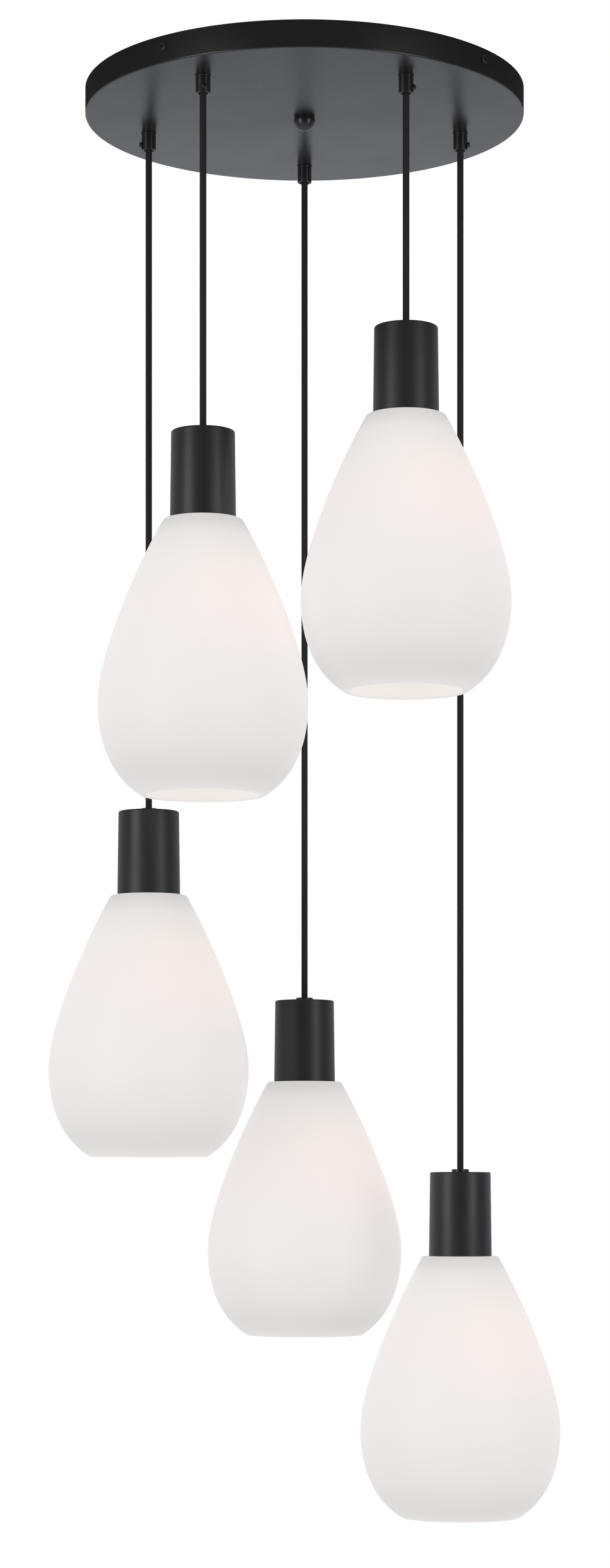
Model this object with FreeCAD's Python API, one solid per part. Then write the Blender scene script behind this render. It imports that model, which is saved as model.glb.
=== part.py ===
import FreeCAD, Part
import math
import os

from FreeCAD import Vector

# A cluster pendant: five opal glass teardrops hang on straight braided cords of different
# lengths from one shallow round canopy. All sizes are millimetres. The origin is the middle of
# the ceiling bracket's top face, in the plane of the ceiling. +Z is up, and the two shortest
# pendants hang on the -Y side. Pendants are numbered from the shortest cord to the longest.

# ---- driving dimensions -------------------------------------------------------------------

# canopy: a pressed pan of sheet steel, open towards the ceiling
canopy_radius = 216.0
canopy_height = 26.0
canopy_wall = 1.2
canopy_edge_radius = 3.0

# ports: the holes under the canopy that the cords leave through, on one circle
port_circle_radius = 164.0
port_count = 5
first_port_azimuth = 90.0

# pendants, from the shortest cord to the longest: the port that each one hangs from, counted
# anticlockwise from the first, its visible length of cord, and which way its grip screw faces
pendant_ports = [3, 2, 1, 0, 4]
visible_cord_lengths = [219.0, 318.0, 659.0, 842.0, 1020.0]
grip_screw_azimuths = [-15.0, -80.0, 190.0, 90.0, -10.0]

# ceiling bracket: a plate with four arms, whose ends are bent down behind the canopy's rim
bracket_thickness = 2.0
bracket_plate_radius = 64.0
bracket_arm_width = 24.0
bracket_tab_height = 18.0
bracket_arm_azimuth = 52.0
bracket_arm_count = 4
box_slot_spacing = 79.4
box_slot_length = 24.0
box_slot_width = 5.2
cable_hole_radius = 11.0
cable_hole_offset = 32.0

# rim screws: they go through the canopy's rim into the bracket's tabs
rim_screw_drop = 10.5
rim_screw_radius = 2.0
rim_screw_length = 8.0
rim_screw_head_radius = 4.0
rim_screw_head_height = 1.8
rim_screw_head_edge = 1.1
cross_recess_width = 0.9
cross_recess_span = 3.6
cross_recess_depth = 1.0

# centre stud, its nut under the bracket, and the domed nut under the canopy
stud_radius = 3.0
stud_top_gap = 0.3
stud_nut_flats = 10.0
stud_nut_height = 5.0
ball_nut_radius = 10.6
ball_nut_skirt = 2.0
ball_nut_bore_depth = 9.0

# cord and cord grip: a threaded tube through the port, with a screw that clamps the cord
cord_radius = 3.2
grip_radius = 7.15
grip_height = 17.0
grip_collar_radius = 7.6
grip_collar_height = 1.2
grip_mouth_radius = 5.4
grip_mouth_depth = 3.2
grip_stem_radius = 5.0
grip_stem_spare = 1.0
grip_nut_flats = 14.0
grip_nut_height = 3.0
grip_screw_drop = 11.8
grip_screw_radius = 1.5
grip_screw_head_radius = 2.7
grip_screw_head_height = 2.4
grip_screw_head_edge = 1.7

# cord tails inside the canopy, and the terminal block that joins them
tail_lift = 1.0
tail_bend_radius = 8.0
block_length = 96.0
block_width = 22.0
block_height = 15.0
block_offset = 20.0
block_terminal_pitch = 15.0
block_row_inset = 5.5
block_well_radius = 2.6
block_well_depth = 5.0

# collar: the bush that the cord enters the cup by, on a threaded stem
collar_radius = 8.7
collar_height = 3.0
collar_edge_radius = 0.8
collar_stem_radius = 5.0
collar_stem_length = 32.0
cup_nut_flats = 14.0
cup_nut_height = 3.0

# cup: the slightly conical metal cup over the lampholder
cup_top_radius = 30.3
cup_mouth_radius = 31.4
cup_height = 84.0
cup_wall = 1.5
cup_edge_radius = 1.5

# lampholder
holder_top_gap = 15.0
holder_neck_radius = 12.0
holder_neck_height = 5.0
holder_shoulder_height = 3.0
holder_radius = 20.5
holder_flange_radius = 24.0
holder_flange_height = 3.0
holder_skirt_radius = 17.8
holder_skirt_spare = 2.0
holder_mouth_radius = 15.6
holder_mouth_depth = 9.0
holder_cap_cover = 12.5

# shade: an opal glass teardrop, open at the bottom
glass_wall = 3.0
shade_shoulder_radius = 37.6
shade_shoulder_edge = 2.6
shade_flank_angle = 31.0
shade_flank_reach = 34.0
shade_belly_radius = 100.0
shade_belly_drop = 174.0
shade_belly_reach_up = 50.0
shade_belly_reach_down = 47.0
shade_height = 261.5
shade_mouth_radius = 59.0
shade_mouth_angle = 58.0
shade_mouth_reach = 26.0
shade_lip_edge = 0.8

# shade ring: screwed on the lampholder's skirt, under the glass
ring_radius = 27.0
ring_height = 7.0
ring_notch_count = 12
ring_notch_radius = 1.6

# bulb: a frosted glass envelope on a screw cap
bulb_radius = 30.0
bulb_length = 84.0
bulb_neck_radius = 13.4
bulb_neck_length = 6.0
bulb_neck_reach = 24.0
bulb_globe_reach = 18.0
bulb_wall = 1.0
bulb_cap_radius = 13.2
bulb_cap_length = 26.0
bulb_cap_cone = 3.0
bulb_contact_radius = 4.0
bulb_contact_height = 1.5

# clearances
thread_clearance = 0.05
hole_clearance = 0.2
cord_clearance = 0.3
glass_clearance = 0.7
tab_clearance = 0.3
seat_clearance = 0.05
turning_gap = 0.1

# ---- places that follow from the dimensions -----------------------------------------------

ceiling = 0.0
canopy_face = ceiling - canopy_height
canopy_floor = canopy_face + canopy_wall
bracket_face = ceiling - bracket_thickness
grip_mouth = canopy_face - grip_height
grip_stem_top = canopy_floor + grip_nut_height + grip_stem_spare
grip_bore_radius = cord_radius + cord_clearance
holder_top = -cup_wall - cup_nut_height - holder_top_gap
glass_top = -cup_height
glass_underside = glass_top - glass_wall
ring_face = glass_underside - ring_height
skirt_end = ring_face - holder_skirt_spare
bulb_cap_end = skirt_end + holder_cap_cover
bulb_cap_top = bulb_cap_end + bulb_cap_length
bulb_contact_top = bulb_cap_top + bulb_contact_height

Z_AXIS = Vector(0, 0, 1)
X_AXIS = Vector(1, 0, 0)


# ---- shaping helpers ----------------------------------------------------------------------

def rod(radius, low, high):
    """A solid cylinder on the Z axis."""
    return Part.makeCylinder(radius, high - low, Vector(0, 0, low))


def tube(outer, inner, low, high):
    """A cylinder on the Z axis with a bore right through."""
    return rod(outer, low, high).cut(rod(inner, low, high))


def turned(outline):
    """A solid turned about the Z axis from corners given as (radius, height)."""
    corners = [Vector(radius, 0, height) for radius, height in outline]
    return turned_face(Part.makePolygon(corners + corners[:1]))


def turned_face(wire):
    """A solid turned about the Z axis from a closed wire in the XZ plane."""
    return Part.Face(wire).revolve(Vector(0, 0, 0), Z_AXIS, 360)


def hexagon(flats, bore, low, high):
    """A hexagon nut on the Z axis."""
    reach = flats / 2 / math.cos(math.radians(30))
    corners = [Vector(reach * math.cos(math.radians(60 * k)), reach * math.sin(math.radians(60 * k)), low)
               for k in range(7)]
    prism = Part.Face(Part.makePolygon(corners)).extrude(Vector(0, 0, high - low))
    return prism.cut(rod(bore, low, high))


def turn(shape, azimuth):
    """A copy turned about the Z axis by an azimuth in degrees."""
    copy = shape.copy()
    copy.rotate(Vector(0, 0, 0), Z_AXIS, azimuth)
    return copy


def shift(shape, place):
    """A copy moved by a vector."""
    copy = shape.copy()
    copy.translate(place)
    return copy


def lay_outwards(shape, azimuth):
    """A copy whose +Z axis is laid level, to point outwards at an azimuth."""
    copy = shape.copy()
    copy.rotate(Vector(0, 0, 0), Vector(0, 1, 0), 90)
    return turn(copy, azimuth)


def cross_recess(head_top):
    """The cross that is cut down into a screw's head."""
    low = head_top - cross_recess_depth
    corner = Vector(-cross_recess_span / 2, -cross_recess_width / 2, low)
    bar = Part.makeBox(cross_recess_span, cross_recess_width, 2 * cross_recess_depth, corner)
    return bar.fuse(turn(bar, 90))


def round_edges(shape, radius, radius_at, height):
    """A fillet on the circular edges of one radius at one height."""
    edges = [edge for edge in shape.Edges
             if isinstance(edge.Curve, Part.Circle)
             and abs(edge.Curve.Radius - radius_at) < 1e-6
             and abs(edge.Curve.Center.z - height) < 1e-6]
    return shape.makeFillet(radius, edges)


def curve(*poles):
    """A Bezier edge in the XZ plane through poles given as (radius, height)."""
    line = Part.BezierCurve()
    line.setPoles([Vector(radius, 0, height) for radius, height in poles])
    return line.toShape()


def straight(start, end):
    """A straight edge in the XZ plane between two points given as (radius, height)."""
    return Part.makeLine(Vector(start[0], 0, start[1]), Vector(end[0], 0, end[1]))


def port_azimuth(port):
    return first_port_azimuth + 360.0 / port_count * port


def port_place(port, height=0.0):
    """The point on a port's axis at a height."""
    azimuth = math.radians(port_azimuth(port))
    return Vector(port_circle_radius * math.cos(azimuth), port_circle_radius * math.sin(azimuth), height)


def arm_azimuths():
    return [bracket_arm_azimuth + 360.0 / bracket_arm_count * k for k in range(bracket_arm_count)]


def save(node, *solids):
    """Write one node's solids to its own file."""
    shape = solids[0] if len(solids) == 1 else Part.makeCompound(list(solids))
    shape.exportStep(os.path.join("parts", node + ".step"))


# ---- canopy and what holds it to the ceiling ----------------------------------------------

def canopy():
    """The pan, with a hole for each grip, one for the stud and one for each rim screw."""
    outside = rod(canopy_radius, canopy_face, ceiling)
    outside = round_edges(outside, canopy_edge_radius, canopy_radius, canopy_face)
    inner_radius = canopy_radius - canopy_wall
    inside = rod(inner_radius, canopy_floor, ceiling)
    inside = round_edges(inside, canopy_edge_radius - canopy_wall, inner_radius, canopy_floor)
    pan = outside.cut(inside)
    port_hole = rod(grip_stem_radius + hole_clearance, canopy_face, canopy_floor)
    for port in range(port_count):
        pan = pan.cut(shift(port_hole, port_place(port)))
    pan = pan.cut(rod(stud_radius + hole_clearance, canopy_face, canopy_floor))
    rim_hole = rod(rim_screw_radius + hole_clearance, inner_radius - canopy_wall, canopy_radius + canopy_wall)
    for azimuth in arm_azimuths():
        pan = pan.cut(shift(lay_outwards(rim_hole, azimuth), Vector(0, 0, ceiling - rim_screw_drop)))
    return pan


def box_slot():
    """A slot along X for a screw of the ceiling box, centred on the origin."""
    half_run = (box_slot_length - box_slot_width) / 2
    end = rod(box_slot_width / 2, bracket_face, ceiling)
    corner = Vector(-half_run, -box_slot_width / 2, bracket_face)
    middle = Part.makeBox(2 * half_run, box_slot_width, bracket_thickness, corner)
    return middle.fuse([shift(end, X_AXIS * half_run), shift(end, X_AXIS * -half_run)])


def bracket_arm(reach):
    """One arm along X with its tab bent down at the end."""
    half_width = bracket_arm_width / 2
    arm = Part.makeBox(reach, bracket_arm_width, bracket_thickness, Vector(0, -half_width, bracket_face))
    tab_corner = Vector(reach - bracket_thickness, -half_width, ceiling - bracket_tab_height)
    tab = Part.makeBox(bracket_thickness, bracket_arm_width, bracket_tab_height, tab_corner)
    return arm.fuse(tab)


def ceiling_bracket():
    """The plate that is screwed to the ceiling box, with its arms and holes."""
    reach = canopy_radius - canopy_wall - tab_clearance
    bracket = rod(bracket_plate_radius, bracket_face, ceiling)
    for azimuth in arm_azimuths():
        bracket = bracket.fuse(turn(bracket_arm(reach), azimuth))
    bracket = bracket.common(rod(reach, ceiling - bracket_tab_height, ceiling)).removeSplitter()
    for side in (-1, 1):
        bracket = bracket.cut(shift(box_slot(), X_AXIS * (side * box_slot_spacing / 2)))
    bracket = bracket.cut(rod(stud_radius + thread_clearance, bracket_face, ceiling))
    cable_hole = rod(cable_hole_radius, bracket_face, ceiling)
    bracket = bracket.cut(shift(cable_hole, Vector(0, -cable_hole_offset, 0)))
    tab_face = reach - bracket_thickness
    tab_hole = rod(rim_screw_radius + thread_clearance, tab_face - bracket_thickness, reach + tab_clearance)
    for azimuth in arm_azimuths():
        bracket = bracket.cut(shift(lay_outwards(tab_hole, azimuth), Vector(0, 0, ceiling - rim_screw_drop)))
    return bracket


def rim_screw():
    """A low round-headed screw on the Z axis, with its head's underside at the origin."""
    shank = rod(rim_screw_radius, -rim_screw_length, 0)
    head = rod(rim_screw_head_radius, 0, rim_screw_head_height)
    head = round_edges(head, rim_screw_head_edge, rim_screw_head_radius, rim_screw_head_height)
    return shank.fuse(head).cut(cross_recess(rim_screw_head_height)).removeSplitter()


def rim_screws():
    seat = Z_AXIS * (canopy_radius + seat_clearance)
    height = Vector(0, 0, ceiling - rim_screw_drop)
    return [shift(lay_outwards(shift(rim_screw(), seat), azimuth), height) for azimuth in arm_azimuths()]


def ball_nut():
    """The domed nut under the canopy: a short skirt and half a ball, with a blind thread."""
    seat = canopy_face - turning_gap
    centre = seat - ball_nut_skirt
    ball = Part.makeSphere(ball_nut_radius, Vector(0, 0, centre))
    ball = ball.common(rod(ball_nut_radius, centre - ball_nut_radius, centre))
    nut = ball.fuse(rod(ball_nut_radius, centre, seat)).removeSplitter()
    return nut.cut(rod(stud_radius + thread_clearance, seat - ball_nut_bore_depth, seat))


def centre_stud():
    """The threaded rod from the bracket down into the domed nut."""
    end = canopy_face - ball_nut_bore_depth
    return rod(stud_radius, end, ceiling - stud_top_gap)


def stud_nut():
    """The hexagon nut that locks the stud under the bracket."""
    bore = stud_radius + thread_clearance
    return hexagon(stud_nut_flats, bore, bracket_face - stud_nut_height, bracket_face)


# ---- cord grips ---------------------------------------------------------------------------

def grip_screw_tip():
    """How far from the cord's axis the clamping screw's tip stands."""
    return cord_radius + turning_gap


def cord_grip(screw_azimuth):
    """The grip on the Z axis: its stem through the port, its collar and its flared mouth."""
    grip = rod(grip_radius, grip_mouth, canopy_face)
    grip = grip.fuse([rod(grip_collar_radius, canopy_face - grip_collar_height, canopy_face),
                      rod(grip_stem_radius, canopy_face, grip_stem_top)]).removeSplitter()
    grip = grip.cut(rod(grip_bore_radius, grip_mouth, grip_stem_top))
    flare = Part.makeCone(grip_mouth_radius, grip_bore_radius, grip_mouth_depth, Vector(0, 0, grip_mouth))
    screw_hole = rod(grip_screw_radius + thread_clearance, 0, grip_collar_radius)
    screw_height = Vector(0, 0, canopy_face - grip_screw_drop)
    return grip.cut([flare, shift(lay_outwards(screw_hole, screw_azimuth), screw_height)])


def grip_screw(screw_azimuth):
    """The clamping screw: a shank up to the cord and a low domed head with a cross."""
    underside = grip_radius + turning_gap
    top = underside + grip_screw_head_height
    head = rod(grip_screw_head_radius, underside, top)
    head = round_edges(head, grip_screw_head_edge, grip_screw_head_radius, top)
    screw = head.fuse(rod(grip_screw_radius, grip_screw_tip(), underside)).cut(cross_recess(top))
    height = Vector(0, 0, canopy_face - grip_screw_drop)
    return shift(lay_outwards(screw.removeSplitter(), screw_azimuth), height)


def grip_nut():
    """The hexagon nut inside the canopy on a grip's stem."""
    bore = grip_stem_radius + thread_clearance
    return hexagon(grip_nut_flats, bore, canopy_floor, canopy_floor + grip_nut_height)


# ---- wiring inside the canopy -------------------------------------------------------------

def block_body():
    """The terminal block's plain body, under the bracket."""
    corner = Vector(-block_length / 2, block_offset, bracket_face - block_height)
    return Part.makeBox(block_length, block_width, block_height, corner)


def terminal_block():
    """The block, with a screw well for each of its terminals."""
    block = block_body()
    well = rod(block_well_radius, bracket_face - block_height, bracket_face - block_height + block_well_depth)
    rows = [block_offset + block_row_inset, block_offset + block_width - block_row_inset]
    for k in range(port_count):
        along = (k - (port_count - 1) / 2) * block_terminal_pitch
        block = block.cut([shift(well, Vector(along, row, 0)) for row in rows])
    return block


def tail_terminal(port):
    """The point inside the block that a port's cord tail runs to, level with its own side."""
    place = port_place(port)
    reach = block_length / 2 - block_terminal_pitch / 2
    along = max(-reach, min(reach, place.x * block_length / (2 * port_circle_radius)))
    return Vector(along, block_offset + block_width / 2, 0)


def cord_tail(port):
    """A cord's end: up through the grip, then level to the terminal block's nearest side."""
    bend_low = grip_stem_top + tail_lift
    level = bend_low + tail_bend_radius
    foot = port_place(port, grip_mouth + cord_radius + turning_gap)
    bend_start = port_place(port, bend_low)
    run = tail_terminal(port) - port_place(port)
    heading = run.normalize()
    bend_end = port_place(port, level) + heading * tail_bend_radius
    lean = math.sqrt(0.5)
    bend_middle = port_place(port, bend_low + tail_bend_radius * lean)
    bend_middle = bend_middle + heading * (tail_bend_radius * (1 - lean))
    run_end = tail_terminal(port) + Vector(0, 0, level)
    path = Part.Wire([Part.makeLine(foot, bend_start),
                      Part.Arc(bend_start, bend_middle, bend_end).toShape(),
                      Part.makeLine(bend_end, run_end)])
    section = Part.Wire(Part.makeCircle(cord_radius, foot, Z_AXIS))
    return path.makePipeShell([section], True, False).cut(block_body())


# ---- one pendant, with the middle of its cup's top at the origin --------------------------

def hanging_cord(visible_length):
    """The cord from a rounded end in the grip's mouth down through the collar's stem."""
    low = -collar_stem_length
    high = collar_height + visible_length
    return rod(cord_radius, low, high).fuse(Part.makeSphere(cord_radius, Vector(0, 0, high))).removeSplitter()


def collar():
    """The round bush on the cup, with its threaded stem."""
    bush = rod(collar_radius, 0, collar_height)
    bush = round_edges(bush, collar_edge_radius, collar_radius, collar_height)
    bush = bush.fuse(rod(collar_stem_radius, -collar_stem_length, 0)).removeSplitter()
    return bush.cut(rod(grip_bore_radius, -collar_stem_length, collar_height))


def cup_nut():
    """The hexagon nut on the collar's stem that clamps the cup."""
    bore = collar_stem_radius + thread_clearance
    return hexagon(cup_nut_flats, bore, -cup_wall - cup_nut_height, -cup_wall)


def cup():
    """The metal cup, closed at the top but for the stem's hole."""
    outside = Part.makeCone(cup_mouth_radius, cup_top_radius, cup_height, Vector(0, 0, -cup_height))
    outside = round_edges(outside, cup_edge_radius, cup_top_radius, 0)
    inside = Part.makeCone(cup_mouth_radius - cup_wall, cup_top_radius - cup_wall,
                           cup_height - cup_wall, Vector(0, 0, -cup_height))
    return outside.cut([inside, rod(collar_stem_radius + hole_clearance, -cup_wall, 0)])


def lampholder():
    """The holder: a neck on the stem, a body, a flange on the glass and a threaded skirt."""
    shoulder = holder_top - holder_neck_height
    holder = turned([(0, holder_top),
                     (holder_neck_radius, holder_top),
                     (holder_neck_radius, shoulder),
                     (holder_radius, shoulder - holder_shoulder_height),
                     (holder_radius, glass_top + holder_flange_height),
                     (holder_flange_radius, glass_top + holder_flange_height),
                     (holder_flange_radius, glass_top),
                     (holder_skirt_radius, glass_top),
                     (holder_skirt_radius, skirt_end),
                     (0, skirt_end)])
    stem_bore = rod(collar_stem_radius + thread_clearance, -collar_stem_length, holder_top)
    cap_bore = rod(bulb_cap_radius + cord_clearance, skirt_end, bulb_contact_top + turning_gap)
    mouth_bore = rod(holder_mouth_radius, skirt_end, skirt_end + holder_mouth_depth)
    return holder.cut([stem_bore, cap_bore, mouth_bore])


def shade_outline(inset):
    """The teardrop's two curves, belly and all, set in from the outer surface by a distance."""
    flank = math.radians(shade_flank_angle)
    mouth = math.radians(shade_mouth_angle)
    belly = (shade_belly_radius - inset, glass_top - shade_belly_drop)
    shoulder = (shade_shoulder_radius - inset * (1 / math.cos(flank) - math.tan(flank)), glass_top - inset)
    lip = (shade_mouth_radius - inset / math.cos(mouth), glass_top - shade_height)
    upper = curve(shoulder,
                  (shoulder[0] + shade_flank_reach * math.sin(flank),
                   shoulder[1] - shade_flank_reach * math.cos(flank)),
                  (belly[0], belly[1] + shade_belly_reach_up),
                  belly)
    lower = curve(belly,
                  (belly[0], belly[1] - shade_belly_reach_down),
                  (lip[0] + shade_mouth_reach * math.sin(mouth),
                   lip[1] + shade_mouth_reach * math.cos(mouth)),
                  lip)
    return shoulder, lip, [upper, lower]


def shade():
    """The glass: a flat shoulder with a hole for the lampholder's skirt, and an open mouth."""
    hole_radius = holder_skirt_radius + glass_clearance
    outer_shoulder, outer_lip, outer = shade_outline(0)
    inner_shoulder, inner_lip, inner = shade_outline(glass_wall)
    outline = [straight((hole_radius, glass_top), outer_shoulder)] + outer
    outline += [straight(outer_lip, inner_lip)] + inner
    outline += [straight(inner_shoulder, (hole_radius, glass_underside)),
                straight((hole_radius, glass_underside), (hole_radius, glass_top))]
    glass = turned_face(Part.Wire(Part.__sortEdges__(outline)))
    glass = round_edges(glass, shade_shoulder_edge, shade_shoulder_radius, glass_top)
    return round_edges(glass, shade_lip_edge, shade_mouth_radius, glass_top - shade_height)


def shade_ring():
    """The ring that is screwed up under the glass, with finger notches round its edge."""
    ring = tube(ring_radius, holder_skirt_radius + thread_clearance, ring_face, glass_underside)
    notch = shift(rod(ring_notch_radius, ring_face, glass_underside), X_AXIS * ring_radius)
    return ring.cut([turn(notch, 360.0 / ring_notch_count * k) for k in range(ring_notch_count)])


def bulb_outline(inset):
    """The envelope's neck, flank and globe, set in from the outer surface by a distance."""
    neck_end = bulb_cap_end - bulb_neck_length
    equator = bulb_cap_end - bulb_length + bulb_radius
    neck = bulb_neck_radius - inset
    globe = bulb_radius - inset
    lean = math.sqrt(0.5)
    cheek = Vector(globe * lean, 0, equator - globe * lean)
    bottom = Vector(0, 0, equator - globe)
    return [straight((neck, bulb_cap_end), (neck, neck_end)),
            curve((neck, neck_end), (neck, neck_end - bulb_neck_reach),
                  (globe, equator + bulb_globe_reach), (globe, equator)),
            Part.Arc(Vector(globe, 0, equator), cheek, bottom).toShape()]


def bulb():
    """The glass envelope, open at the neck where the cap closes it."""
    outer = bulb_outline(0)
    inner = bulb_outline(bulb_wall)
    low = bulb_cap_end - bulb_length
    rims = [straight((bulb_neck_radius, bulb_cap_end), (bulb_neck_radius - bulb_wall, bulb_cap_end)),
            straight((0, low), (0, low + bulb_wall))]
    return turned_face(Part.Wire(Part.__sortEdges__(outer + inner + rims)))


def bulb_base():
    """The bulb's screw cap, with its contact at the top."""
    return turned([(0, bulb_contact_top),
                   (bulb_contact_radius, bulb_contact_top),
                   (bulb_contact_radius, bulb_cap_top),
                   (bulb_cap_radius, bulb_cap_top - bulb_cap_cone),
                   (bulb_cap_radius, bulb_cap_end),
                   (0, bulb_cap_end)])


# ---- the whole light ----------------------------------------------------------------------

def cup_top(visible_length):
    """The height of a cup's top under the ceiling."""
    return grip_mouth - visible_length - collar_height


def build():
    os.makedirs("parts", exist_ok=True)
    save("canopy", canopy())
    save("ceiling_bracket", ceiling_bracket())
    save("rim_screws", *rim_screws())
    save("centre_stud", centre_stud())
    save("stud_nut", stud_nut())
    save("ball_nut", ball_nut())

    screw_azimuth_of = dict(zip(pendant_ports, grip_screw_azimuths))
    ports = range(port_count)
    save("cord_grips", *[shift(cord_grip(screw_azimuth_of[port]), port_place(port)) for port in ports])
    save("grip_nuts", *[shift(grip_nut(), port_place(port)) for port in ports])
    save("terminal_block", terminal_block())
    save("cord_tails", *[cord_tail(port) for port in ports])

    pendant_pieces = {"collar": collar(), "cup_nut": cup_nut(), "cup": cup(), "lampholder": lampholder(),
                      "shade": shade(), "shade_ring": shade_ring(), "bulb": bulb(), "bulb_base": bulb_base()}
    settings = zip(pendant_ports, visible_cord_lengths, grip_screw_azimuths)
    for number, (port, length, screw_azimuth) in enumerate(settings, start=1):
        place = port_place(port, cup_top(length))
        save("cord_%d" % number, shift(hanging_cord(length), place))
        save("grip_screw_%d" % number, shift(grip_screw(screw_azimuth), port_place(port)))
        for name, piece in pendant_pieces.items():
            save("%s_%d" % (name, number), shift(piece, place))


build()
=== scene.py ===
import math

import bmesh
import bpy
from mathutils import Matrix, Vector


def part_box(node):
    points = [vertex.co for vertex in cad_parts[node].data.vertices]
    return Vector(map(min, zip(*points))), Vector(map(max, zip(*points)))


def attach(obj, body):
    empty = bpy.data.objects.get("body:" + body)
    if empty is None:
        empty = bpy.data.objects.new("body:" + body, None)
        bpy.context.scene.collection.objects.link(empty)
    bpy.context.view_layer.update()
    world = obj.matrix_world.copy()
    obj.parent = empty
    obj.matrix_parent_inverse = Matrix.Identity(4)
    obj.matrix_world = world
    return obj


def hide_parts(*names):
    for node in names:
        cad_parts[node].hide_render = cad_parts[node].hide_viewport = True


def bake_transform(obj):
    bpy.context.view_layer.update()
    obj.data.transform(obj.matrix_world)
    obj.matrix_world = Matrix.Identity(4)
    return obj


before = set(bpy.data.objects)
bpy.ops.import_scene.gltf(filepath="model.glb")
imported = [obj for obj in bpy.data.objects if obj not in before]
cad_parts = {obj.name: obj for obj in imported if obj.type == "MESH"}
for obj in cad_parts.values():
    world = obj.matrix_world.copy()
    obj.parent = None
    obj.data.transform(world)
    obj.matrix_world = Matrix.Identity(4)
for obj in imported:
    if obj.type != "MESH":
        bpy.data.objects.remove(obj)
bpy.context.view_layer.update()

# ---- Studio --------------------------------------------------------------------------------
# The camera stands level, three and a half metres in front of the canopy's middle and level with
# the fourth pendant's glass, so it looks up into the first two shades. Lengths are in metres.
camera_distance = 3.5
camera_drop = 1.0928
lens = 81.4
lens_shift = (0.0003, 0.2646)
lens_range = (0.05, 60)

photo_lens = bpy.data.cameras.new("photo_lens")
photo_lens.lens = lens
photo_lens.shift_x, photo_lens.shift_y = lens_shift
photo_lens.clip_start, photo_lens.clip_end = lens_range
camera = bpy.data.objects.new("photo_camera", photo_lens)
camera.location = (0, -camera_distance, -camera_drop)
camera.rotation_euler = (math.radians(90), 0, 0)
bpy.context.scene.collection.objects.link(camera)
bpy.context.scene.camera = camera
bpy.context.scene.view_settings.view_transform = "Standard"

# The room is plain white. Seen straight on, and through glass, it is white all over. Gloss sees
# one lit wall behind the object and a dim room on the camera's side.
room_level = 0.62
lit_wall = 0.62
dim_wall = 0.14
dim_wall_ends = -0.35
lit_wall_starts = 0.55
plain_white = (1, 1, 1, 1)
wall_tint = (0.93, 0.97, 1.04, 1)


def wire(tree, kind, operation=None, **inputs):
    """A new node, its inputs set or joined to outputs by name, or by number as i0, i1 and so on."""
    made = tree.nodes.new(kind)
    if operation:
        made.operation = operation
    for name, value in inputs.items():
        socket = made.inputs[int(name[1:]) if name[1:].isdigit() else name.replace("_", " ")]
        if isinstance(value, bpy.types.NodeSocket):
            tree.links.new(value, socket)
        else:
            socket.default_value = value
    return made


def colour_mix(tree, factor, first, second, blend="MIX"):
    """Two colours mixed by a factor."""
    mix = wire(tree, "ShaderNodeMix", Factor=factor, i6=first, i7=second)
    mix.data_type, mix.blend_type = "RGBA", blend
    return mix.outputs[2]


room = bpy.data.worlds.new("room")
bpy.context.scene.world = room
room.use_nodes = True
tree = room.node_tree
tree.nodes.clear()
ray = tree.nodes.new("ShaderNodeLightPath").outputs
outlook = tree.nodes.new("ShaderNodeTexCoord").outputs["Generated"]
facing = wire(tree, "ShaderNodeSeparateXYZ", i0=outlook)
wall = wire(tree, "ShaderNodeMapRange", i0=facing.outputs["Y"],
            i1=dim_wall_ends, i2=lit_wall_starts, i3=dim_wall, i4=lit_wall)
wall.interpolation_type = "SMOOTHSTEP"
level = wire(tree, "ShaderNodeMix", Factor=ray["Is Glossy Ray"], i2=room_level, i3=wall.outputs[0])
seen = wire(tree, "ShaderNodeMath", "MAXIMUM",
            i0=ray["Is Camera Ray"], i1=ray["Is Transmission Ray"])
level = wire(tree, "ShaderNodeMix", Factor=seen.outputs[0], i2=level.outputs[0], i3=1.0)
tint = colour_mix(tree, ray["Is Glossy Ray"], plain_white, wall_tint)
light = wire(tree, "ShaderNodeBackground", Color=tint, Strength=level.outputs[0])
wire(tree, "ShaderNodeOutputWorld", Surface=light.outputs[0])

# Two tall soft boxes stand left and right of the camera, and a wide one lies overhead. All three
# face the middle of the pendants.
box_aim = -0.7


def soft_box(name, azimuth, distance, height, size, power, colour):
    """A soft box at an azimuth from the camera's side, to the right of its view."""
    lamp = bpy.data.lights.new(name, "AREA")
    lamp.shape = "RECTANGLE"
    lamp.size, lamp.size_y = size
    lamp.energy = power
    lamp.color = colour
    box = bpy.data.objects.new(name, lamp)
    turn = math.radians(azimuth)
    box.location = (distance * math.sin(turn), -distance * math.cos(turn), height)
    towards = Vector((0, 0, box_aim)) - box.location
    box.rotation_euler = towards.to_track_quat("-Z", "Y").to_euler()
    bpy.context.scene.collection.objects.link(box)


soft_box("left_soft_box", azimuth=-51, distance=2.6, height=-0.7,
         size=(1.0, 2.4), power=29, colour=(1.0, 1.0, 1.0))
soft_box("right_soft_box", azimuth=48, distance=2.6, height=-0.7,
         size=(0.7, 2.4), power=21, colour=(1.0, 0.98, 0.96))
soft_box("overhead_soft_box", azimuth=20, distance=1.2, height=2.2,
         size=(2.4, 2.4), power=26, colour=(1.0, 1.0, 1.0))

# A black card lies on the ceiling round the canopy. Only gloss sees it: it keeps the rim dark.
card_inner, card_outer = 0.2165, 0.8
card_height = 0.0015
card_colour = (0.01, 0.01, 0.01, 1)


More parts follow.
